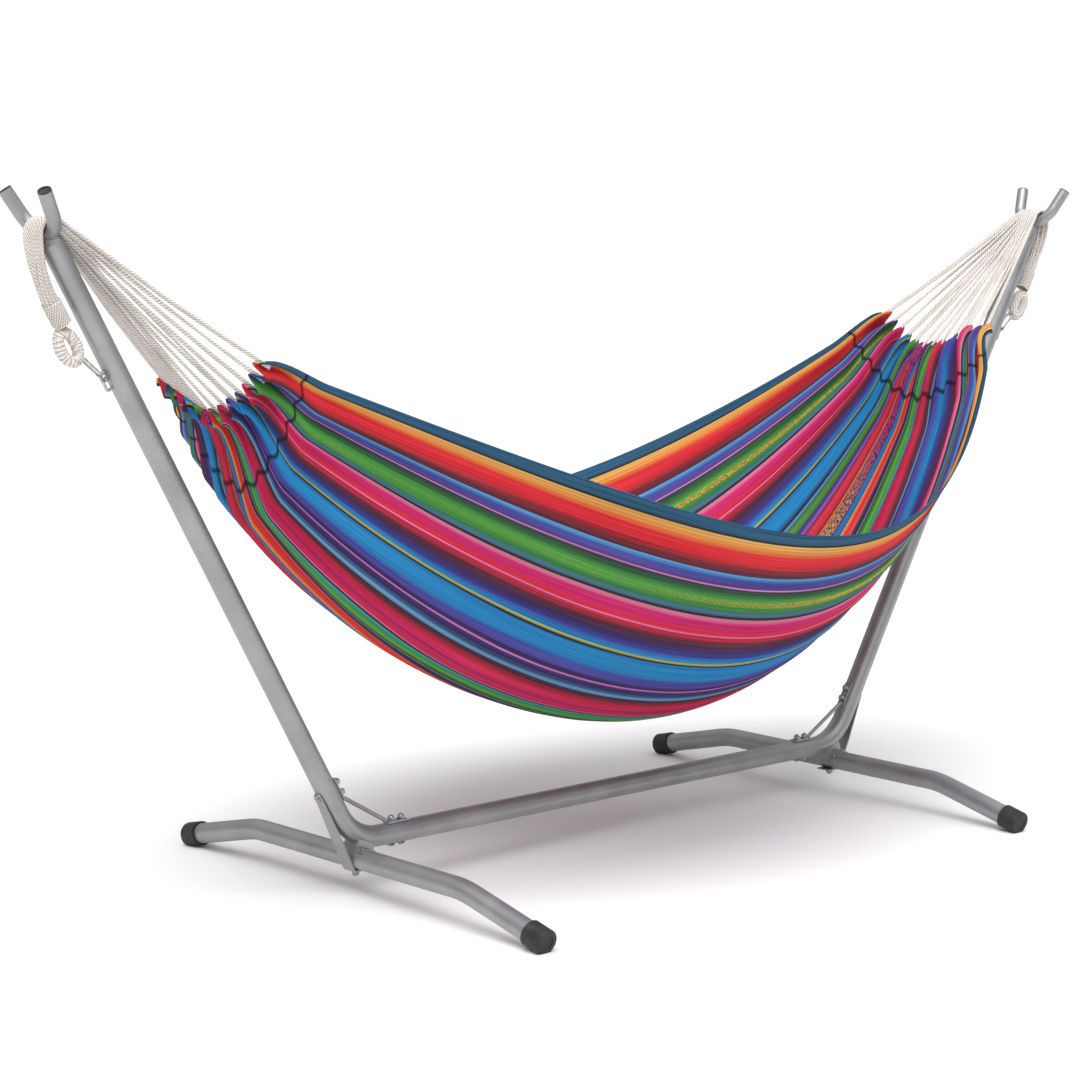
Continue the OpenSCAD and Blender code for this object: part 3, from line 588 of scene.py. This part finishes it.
def threads(length_scale, width_scale, detail=2.0):
    """Noise stretched along the warp, so it reads as separate threads."""
    stretched = cloth.node("ShaderNodeCombineXYZ", None,
                           {0: along * length_scale, 1: across * width_scale, 2: 0.0})
    return cloth.node("ShaderNodeTexNoise", None,
                      {"Vector": stretched, "Scale": 1.0, "Detail": detail})


wander = (threads(14.0, 3.0) - 0.5) * 0.0012
drawn = across + wander
ramps = []
for first in range(0, len(ALL_BANDS) - 1, STOPS_A_RAMP):
    part = ALL_BANDS[first:first + STOPS_A_RAMP + 1]
    low, high = part[0][0], part[-1][0]
    stops = [((place - low) / (high - low), colour(*shade)) for place, shade in part]
    share = cloth.clamp(drawn, low, high)
    ramps.append((low, cloth.node("ShaderNodeValToRGB", {"stops": stops}, {0: share})))
stripes = ramps[0][1]
for low, ramp in ramps[1:]:
    chosen = cloth.node("ShaderNodeMath", {"operation": "GREATER_THAN"}, {0: drawn, 1: low})
    stripes = cloth.mix(chosen, stripes, ramp)
print("ramps:", len(ramps))

# %% [markdown]
# ## Brocade bands
# Two kinds of band carry a second, floating yarn, which shows as short dashes.
# On the green band the yarn is yellow and orange, and it sinks into the cloth toward the left.
# On the middle navy band the dyed yarn changes colour as it goes along.

# %% Brocade bands and weave
def band(low, high, edge=0.0012):
    """1 inside low..high across the cloth, 0 outside."""
    return cloth.clamp(drawn, low, low + edge) * (1.0 - cloth.clamp(drawn, high - edge, high))


def dashes(length_count, width_count, share):
    """Short stitches scattered over the cloth, as a mask."""
    return cloth.clamp(threads(length_count, width_count, 1.0), 0.5 - share, 0.56 - share)


yellow_yarn = cloth.mix(cloth.clamp(threads(260.0, 500.0), 0.45, 0.55),
                        colour(246, 206, 84), colour(226, 112, 50))
green_band = band(0.1395, 0.1515) + band(0.8485, 0.8605)
shows = lerp(0.1, 1.0, cloth.clamp(along, 0.35, 0.62))
stripes = cloth.mix(green_band * dashes(420.0, 640.0, 0.03) * shows, stripes, yellow_yarn)
dyed = cloth.node("ShaderNodeValToRGB", {"stops": [
    (0.00, colour(214, 40, 140)), (0.09, colour(206, 48, 150)), (0.13, colour(20, 120, 190)),
    (0.24, colour(30, 110, 190)), (0.29, colour(190, 50, 70)), (0.36, colour(150, 60, 170)),
    (0.44, colour(110, 60, 170)), (0.50, colour(224, 180, 70)), (0.60, colour(224, 120, 60)),
    (0.74, colour(60, 150, 80)), (0.86, colour(240, 190, 80)), (0.95, colour(214, 40, 140))]},
    {0: along})
stripes = cloth.mix(band(0.5535, 0.5795) * dashes(400.0, 600.0, 0.02), stripes, dyed)
thread = threads(5.0, 620.0, 2.0)
thread_relief_and_shade = cloth.clamp(thread, 0.3, 0.7)
# Painted shade darkens the low threads and a faint painted highlight lightens the raised ones, over the
# real unevenness of the threads.
stripes = cloth.mix((1.0 - thread_relief_and_shade) * 0.42, stripes, colour(20, 18, 30))
stripes = cloth.mix(thread_relief_and_shade * 0.04, stripes, colour(255, 240, 225))
seam = SEAM_GAP / (HEM_X[1] - HEM_X[0])
from_left = cloth.node("ShaderNodeMath", {"operation": "ABSOLUTE"}, {0: along - seam})
from_right = cloth.node("ShaderNodeMath", {"operation": "ABSOLUTE"}, {0: along - (1 - seam)})
near_seam = cloth.node("ShaderNodeMath", {"operation": "MINIMUM"}, {0: from_left, 1: from_right})
stitch = 1.0 - cloth.clamp(near_seam, 0.0003, 0.0013)
stripes = cloth.mix(stitch * 0.85, stripes, colour(24, 20, 30))
long_hem = band(0.0165, 0.0185, 0.0005) + band(0.9815, 0.9835, 0.0005)
stripes = cloth.mix(long_hem * 0.4, stripes, colour(14, 40, 60))
WEFT_PITCH = 0.0024
RIB_PITCH = 0.0016
weft = cloth.node("ShaderNodeMath", {"operation": "SINE"},
                  {0: along * (CLOTH_LENGTH * 2 * math.pi / WEFT_PITCH)})
rib = cloth.node("ShaderNodeMath", {"operation": "SINE"},
                 {0: across * (CLOTH_WIDTH * 2 * math.pi / RIB_PITCH)})
cloth.set("Base Color", stripes)
cloth.set("Roughness", 0.82 + thread_relief_and_shade * 0.1)
cloth.bump(weft * 0.25 + rib * 0.3 + thread_relief_and_shade * 0.45 - stitch * 1.5 - long_hem, 0.5, 0.0009)
print("striped cotton ready")

# %% [markdown]
# ## Finishing the bed
# The grid gets the real thickness of the cloth, and rides on the hammock body,
# which swings about the line between the two forks.

# %% The bed
bed = add_piece("woven_bed", points, faces, cloth_run, cloth)
bpy.ops.object.select_all(action="DESELECT")
bed.select_set(True)
bpy.context.view_layer.objects.active = bed
thickness = bed.modifiers.new("cloth", "SOLIDIFY")
thickness.thickness = CLOTH_THICKNESS
thickness.offset = 0
bpy.ops.object.modifier_apply(modifier="cloth")
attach(bed, "hammock")
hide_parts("bed")
print("bed:", len(bed.data.polygons), "faces")

# %% [markdown]
# ## Sweeping a cord
# A cord is a ring of points carried along a path. Each ring is turned as little as possible
# from the one before, so the twist in the UV map is the only twist there is.

# %% Sweep a tube along a path
def resample(path, step):
    """Points spaced evenly along a path."""
    total = sum(math.dist(a, b) for a, b in zip(path, path[1:]))
    count = max(3, int(total / step))
    return [Vector(walk(path, i / count)) for i in range(count + 1)], total


SIDES_ROUND = 10


def sweep(path, radius):
    """Points, faces and UV runs of a closed tube."""
    points, faces, runs = [], [], []
    normal = None
    run = 0.0
    for k, centre in enumerate(path):
        ahead = (path[min(k + 1, len(path) - 1)] - path[max(k - 1, 0)]).normalized()
        if normal is None:
            normal = ahead.orthogonal()
        normal = (normal - ahead * normal.dot(ahead)).normalized()
        side = ahead.cross(normal)
        run += (centre - path[k - 1]).length if k else 0.0
        for m in range(SIDES_ROUND + 1):
            angle = 2 * math.pi * m / SIDES_ROUND
            points.append(centre + (normal * math.cos(angle) + side * math.sin(angle)) * radius)
            runs.append((run, m / SIDES_ROUND))
    row = SIDES_ROUND + 1
    for k in range(len(path) - 1):
        for m in range(SIDES_ROUND):
            a = k * row + m
            faces.append((a, a + 1, a + row + 1, a + row))
    last_ring = (len(path) - 1) * row
    faces.append(tuple(reversed(range(SIDES_ROUND))))
    faces.append(tuple(range(last_ring, last_ring + SIDES_ROUND)))
    return points, faces, runs


def join_tubes(name, tubes, finish):
    """One piece from many tubes, with the seam of each closed."""
    points, faces, runs = [], [], []
    for tube_points, tube_faces, tube_runs in tubes:
        start = len(points)
        points += tube_points
        runs += tube_runs
        faces += [tuple(start + index for index in face) for face in tube_faces]
    piece = add_piece(name, points, faces, runs, finish)
    bpy.ops.object.select_all(action="DESELECT")
    piece.select_set(True)
    bpy.context.view_layer.objects.active = piece
    bpy.ops.object.mode_set(mode="EDIT")
    bpy.ops.mesh.select_all(action="SELECT")
    bpy.ops.mesh.remove_doubles(threshold=0.00001)
    bpy.ops.mesh.normals_make_consistent(inside=False)
    bpy.ops.object.mode_set(mode="OBJECT")
    return piece


print("sweep ready")

# %% [markdown]
# ## Cords from the hem to the whipping
# Thirteen doubled cords leave the sleeve at each end. They fan in to the fork, lie in its valley
# three deep, turn down behind it and are packed round by the whipping. One path runs all the way,
# so a cord can be followed by eye. Each hangs a few millimetres slack.

# %% Places of the cords
CORD_RADIUS = 0.0029
FORK = (1.3802, 1.2773)
FORK_TUBE = 0.0125
TAIL_END = (1.3742, 1.1623)
TAIL_WAY = (-0.515, -0.857)
ROWS = ((5, 0.0044), (9, 0.0092), (12, 0.0140))
ROW_PITCH = 0.0047
RINGS = ((4, 0.0032), (9, 0.0076), (13, 0.0122))


def valley_places():
    """Where each cord lies in the fork: (y, height above the valley)."""
    places = []
    for count, height in ROWS:
        places += [((k - (count - 1) / 2) * ROW_PITCH, height) for k in range(count)]
    return sorted(places)


def packed_places():
    """Where each cord lies in the round tail: (y, outward)."""
    places = []
    for count, radius in RINGS:
        places += [(radius * math.cos(2 * math.pi * (k + 0.5) / count),
                    radius * math.sin(2 * math.pi * (k + 0.5) / count)) for k in range(count)]
    return sorted(places)


GROUP = 4


def match(valley, packed):
    """Give each valley place a packed one near it, working across, then outward in small groups."""
    result = [None] * len(valley)
    for first in range(0, len(valley), GROUP):
        group = list(range(first, min(first + GROUP, len(valley))))
        rising = sorted(group, key=lambda n: valley[n][1])
        wanted = sorted(packed[first:first + len(group)], key=lambda p: p[1])
        for n, spot in zip(rising, wanted):
            result[n] = spot
    return result


VALLEY = valley_places()
PACKED = match(VALLEY, packed_places())
print("cords in each valley:", len(VALLEY))

# %% [markdown]
# ## The path of one cord
# The path is built for the right side and mirrored for the left: the hem is straight to the fork,
# an arc follows the fork's tube, and a smooth curve brings the cord down into the whipping.

# %% One cord's path
def curve_between(start, leave, end, arrive, count):
    """A smooth curve that leaves and arrives in given directions."""
    points = []
    for k in range(1, count + 1):
        t = k / count
        a = 2 * t ** 3 - 3 * t ** 2 + 1
        b = t ** 3 - 2 * t ** 2 + t
        c = -2 * t ** 3 + 3 * t ** 2
        d = t ** 3 - t ** 2
        points.append(start * a + leave * b + end * c + arrive * d)
    return points


ARC_STEPS = 12
IN_SLEEVE = 0.014
CORD_STEP = 0.006


def cord_path(index, hem_point, side):
    """From inside the hem to inside the whipping, in true places for side 1 or -1."""
    y, height = VALLEY[index]
    reach = FORK_TUBE + height
    hem = Vector((abs(hem_point[0]), hem_point[1], hem_point[2]))
    way = math.atan2(FORK[1] - hem.z, FORK[0] - hem.x)
    lift_off = way + math.pi / 2
    first = Vector((FORK[0] + reach * math.cos(lift_off), y, FORK[1] + reach * math.sin(lift_off)))
    middle = hem.lerp(first, 0.5) + Vector((0, random.uniform(-0.003, 0.003), random.uniform(-0.008, 0.0)))
    path = [hem, hem.lerp(middle, 0.5) + Vector((0, 0, -0.001)), middle,
            middle.lerp(first, 0.5) + Vector((0, 0, -0.001))]
    turned_down = math.radians(-4)
    for k in range(ARC_STEPS + 1):
        angle = lerp(lift_off, turned_down, k / ARC_STEPS)
        path.append(Vector((FORK[0] + reach * math.cos(angle), y, FORK[1] + reach * math.sin(angle))))
    across, outward = PACKED[index]
    down = Vector((TAIL_WAY[0], 0, TAIL_WAY[1]))
    out = Vector((-TAIL_WAY[1], 0, TAIL_WAY[0]))
    end = Vector((TAIL_END[0], 0, TAIL_END[1])) + out * outward + Vector((0, across, 0))
    path += curve_between(path[-1], Vector((0, 0, -0.13)), end, down * 0.10, 12)
    path += [end + down * (0.008 * k) for k in range(1, 6)]
    return [Vector((p.x * side, p.y, p.z)) for p in path]


def hem_points(side):
    """Where the thirteen pairs leave the sleeve, a centimetre and a half inside it."""
    hem = LEFT_HEM if side < 0 else RIGHT_HEM
    x = HEM_X[0] + IN_SLEEVE if side < 0 else HEM_X[1] - IN_SLEEVE
    spots = []
    for pair in range(PLEATS):
        for half in (-0.5, 0.5):
            y, z = walk(hem, (pair + 0.5 + half * 0.14) / PLEATS)
            spots.append((x, y, z + 0.001))
    return spots


for side, name in ((-1, "left"), (1, "right")):
    tubes, lengths = [], []
    for index, spot in enumerate(hem_points(side)):
        path, length = resample(cord_path(index, spot, side), CORD_STEP)
        tubes.append(sweep(path, CORD_RADIUS))
        lengths.append(length)
    cords = join_tubes(f"{name}_cords", tubes, cotton)
    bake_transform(cords)
    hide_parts(f"{name}_cord_fan", f"{name}_cord_bundle")
    print(cords.name, "lengths:", round(min(lengths), 3), "to", round(max(lengths), 3), "m")

# %% [markdown]
# ## Whipping
# Each tail is bound with ten tight turns of a slightly thinner cord, laid side by side.
# The helix climbs by about the cord's thickness a turn, so the turns touch.

# %% Whipping
def tail_frame(side):
    """The tail's own directions: down it, outward and across."""
    down = Vector((TAIL_WAY[0] * side, 0, TAIL_WAY[1]))
    out = Vector((-TAIL_WAY[1] * side, 0, TAIL_WAY[0]))
    return down, out, Vector((0, 1, 0))


TURNS = 10
STEPS_A_TURN = 32
WRAP_RADIUS = 0.0024
WRAP_LENGTH = 0.050
HELIX_RADIUS = 0.0154
for side, name in ((-1, "left"), (1, "right")):
    down, out, across = tail_frame(side)
    start = Vector((TAIL_END[0] * side, 0, TAIL_END[1]))
    helix = []
    for k in range(TURNS * STEPS_A_TURN + 1):
        angle = 2 * math.pi * k / STEPS_A_TURN
        run = lerp(WRAP_RADIUS, WRAP_LENGTH - WRAP_RADIUS, k / (TURNS * STEPS_A_TURN))
        spoke = out * math.cos(angle) + across * math.sin(angle)
        helix.append(start + down * run + spoke * HELIX_RADIUS)
    path, length = resample(helix, 0.003)
    wrap = join_tubes(f"{name}_whipping_cord", [sweep(path, WRAP_RADIUS)], serving)
    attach(wrap, "stand")
    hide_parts(f"{name}_whipping")
    print(wrap.name, "length:", round(length, 2), "m")

# %% [markdown]
# ## End loop
# Below the whipping the cords turn back on themselves in a tight eye.
# The loop is served with thick twisted strands: five of them are laid round the eye like a rope,
# so its surface is a row of slanting lays with a narrow dark slit in the middle.

# %% End loop
LOOP_CENTRE = (1.3382, 1.0814)
LOOP_RADIUS = 0.0160
LOOP_REACH = 0.0285
LAYS = 5
LAY_TURNS = 4
LAY_RADIUS = 0.0052
LAY_OFFSET = 0.0062
LOOP_STEPS = 240
for side, name in ((-1, "left"), (1, "right")):
    down, out, across = tail_frame(side)
    heart = Vector((LOOP_CENTRE[0] * side, 0, LOOP_CENTRE[1]))
    tubes = []
    for lay in range(LAYS):
        strand = []
        for k in range(LOOP_STEPS):
            around = 2 * math.pi * k / LOOP_STEPS
            ring = down * (math.cos(around) * LOOP_REACH) + out * (math.sin(around) * LOOP_RADIUS)
            outward = ring.normalized()
            twist = LAY_TURNS * around + 2 * math.pi * lay / LAYS
            swing = outward * math.cos(twist) + across * math.sin(twist)
            strand.append(heart + ring + swing * LAY_OFFSET)
        strand.append(strand[0])
        path, _ = resample(strand, 0.004)
        tubes.append(sweep(path, LAY_RADIUS))
    loop = join_tubes(f"{name}_loop_rope", tubes, cotton)
    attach(loop, "stand")
    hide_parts(f"{name}_end_loop")
    print(loop.name, "faces:", len(loop.data.polygons))

# %% [markdown]
# ## Floor finish
# The floor stays pale and matt.

# %% Floor finish
ground = Finish("pale_floor", Base_Color=(0.94, 0.94, 0.94, 1), Roughness=0.9)
floor.data.materials.append(ground.material)
